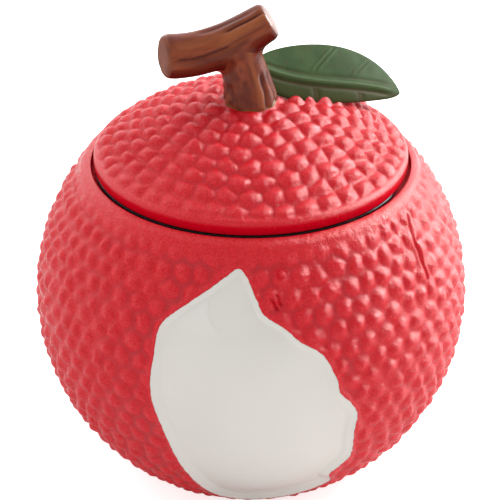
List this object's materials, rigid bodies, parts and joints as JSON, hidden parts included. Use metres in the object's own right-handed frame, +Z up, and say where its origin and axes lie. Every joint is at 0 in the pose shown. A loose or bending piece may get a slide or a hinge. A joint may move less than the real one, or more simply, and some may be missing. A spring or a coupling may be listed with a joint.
{
  "type": "ceramic tea jar",
  "caption": "Round lychee-shaped ceramic jar for loose tea, with a pebbled red rind, a peeled white patch and a sealed lift-off lid with a twig handle and a leaf.",
  "frame": {"origin": "centre of the flat foot, on the surface the jar stands on", "axes": "+Z up along the jar's axis; -Y faces the viewer and the peeled patch; +X to the viewer's right, the side of the leaf"},
  "size_m": [0.1108, 0.109, 0.1266],
  "materials": {
    "jar_body": "satin red glaze on a pebbled surface, with a glossy white glazed patch on the front and a bare foot",
    "lid": "satin red glaze on a pebbled dome",
    "seal_ring": "smooth black silicone",
    "branch_handle": "brown painted bark under a clear gloss glaze",
    "leaf": "dark green satin glaze"
  },
  "bodies": {
    "jar": {"jar_body": "jar_body"},
    "seal": {"seal_ring": "seal_ring"},
    "lid": {"lid": "lid", "branch_handle": "branch_handle", "leaf": "leaf"}
  },
  "joints": [
    {"name": "lid_lift", "type": "slide", "parent": "jar", "child": "seal", "axis": [0, 0, 1], "range_m": [0, 0.06]},
    {"name": "lid_turn", "type": "hinge", "parent": "seal", "child": "lid", "pos_m": [0, 0, 0.0838], "axis": [0, 0, 1], "continuous": true}
  ]
}
